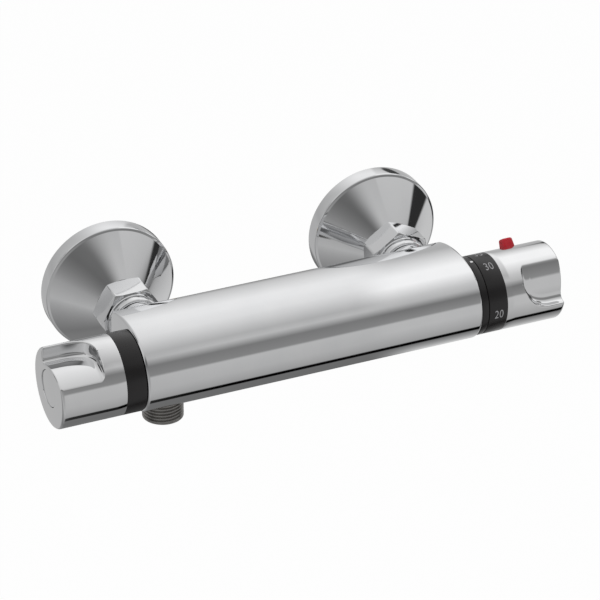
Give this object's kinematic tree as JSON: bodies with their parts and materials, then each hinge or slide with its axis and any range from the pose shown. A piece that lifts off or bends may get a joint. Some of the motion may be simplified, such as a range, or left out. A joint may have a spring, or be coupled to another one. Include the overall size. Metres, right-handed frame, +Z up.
{
  "type": "thermostatic bar shower valve",
  "caption": "Wall-mounted thermostatic bar shower valve with round knobs at both ends, black dial ring, red release button, wall unions and a bottom outlet.",
  "frame": {"origin": "on the wall plane, half-way between the centres of the two inlets", "axes": "+X to the right along the bar, towards the temperature knob; +Y into the wall; +Z up"},
  "size_m": [0.274, 0.1302, 0.07],
  "materials": {
    "chrome_brass": "polished chrome plate on brass",
    "chrome_zinc": "polished chrome plate on die-cast zinc",
    "bare_steel": "machined, nickel plated",
    "brass": "machined brass",
    "copper": "drawn copper capsule",
    "spring_steel": "stainless steel",
    "black_plastic": "satin black moulded plastic",
    "white_plastic": "natural acetal",
    "red_plastic": "red moulded plastic",
    "rubber": "black nitrile rubber",
    "ceramic": "lapped alumina ceramic"
  },
  "bodies": {
    "valve": {"valve_body": "chrome_brass", "outlet_nipple": "bare_steel", "marker_ring": "black_plastic", "inlet_tail_left": "brass", "inlet_tail_right": "brass", "union_nut_left": "chrome_brass", "union_nut_right": "chrome_brass", "filter_washer_left": "rubber", "filter_washer_right": "rubber", "eccentric_union_left": "brass", "eccentric_union_right": "brass", "wall_flange_left": "chrome_brass", "wall_flange_right": "chrome_brass", "check_valve_body_left": "white_plastic", "check_valve_body_right": "white_plastic", "check_valve_spring_left": "spring_steel", "check_valve_spring_right": "spring_steel", "flow_headpart": "brass", "flow_seat_seal": "rubber", "flow_fixed_disc": "ceramic", "cartridge_housing": "brass", "cartridge_seals": "rubber", "cartridge_nut": "brass", "stop_ring": "white_plastic"},
    "flow_control": {"flow_moving_disc": "ceramic", "flow_spindle": "brass", "flow_spindle_seals": "rubber", "flow_knob": "chrome_zinc", "flow_skirt_ring": "black_plastic", "flow_knob_adapter": "white_plastic", "flow_knob_screw": "spring_steel", "flow_knob_cap": "chrome_zinc"},
    "temperature_control": {"temperature_spindle": "brass", "temperature_spindle_seal": "rubber", "temperature_knob": "chrome_zinc", "scale_ring": "black_plastic", "temperature_knob_adapter": "white_plastic", "temperature_knob_screw": "spring_steel", "temperature_knob_cap": "chrome_zinc", "safety_button_spring": "spring_steel"},
    "release_button": {"safety_button": "red_plastic"},
    "thermostat": {"shuttle": "white_plastic", "wax_element": "copper", "return_spring": "spring_steel", "thrust_cup": "spring_steel", "overtravel_spring": "spring_steel", "adjuster": "brass"},
    "hot_check_poppet": {"check_valve_poppet_left": "white_plastic"},
    "cold_check_poppet": {"check_valve_poppet_right": "white_plastic"}
  },
  "joints": [
    {"name": "flow_turn", "type": "hinge", "parent": "valve", "child": "flow_control", "pos_m": [-0.115, -0.087, 0], "axis": [-1, 0, 0], "range_deg": [0, 90]},
    {"name": "temperature_turn", "type": "hinge", "parent": "valve", "child": "temperature_control", "pos_m": [0.115, -0.087, 0], "axis": [1, 0, 0], "range_deg": [-110, 94]},
    {"name": "button_press", "type": "slide", "parent": "temperature_control", "child": "release_button", "axis": [0, -0.6018, -0.7986], "range_m": [0, 0.0022], "stiffness_N_per_m": 600, "springref_m": -0.002, "deforming": ["safety_button_spring"]},
    {"name": "thermostat_travel", "type": "slide", "parent": "valve", "child": "thermostat", "axis": [1, 0, 0], "range_m": [-0.00046, 0.0004], "deforming": ["return_spring"]},
    {"name": "hot_check_lift", "type": "slide", "parent": "valve", "child": "hot_check_poppet", "axis": [0, -1, 0], "range_m": [0, 0.0025], "stiffness_N_per_m": 100, "springref_m": -0.002, "deforming": ["check_valve_spring_left"]},
    {"name": "cold_check_lift", "type": "slide", "parent": "valve", "child": "cold_check_poppet", "axis": [0, -1, 0], "range_m": [0, 0.0025], "stiffness_N_per_m": 100, "springref_m": -0.002, "deforming": ["check_valve_spring_right"]}
  ],
  "couplings": [
    {"joint": "thermostat_travel", "follows": "temperature_turn", "m_per_rad": 0.00023873}
  ]
}
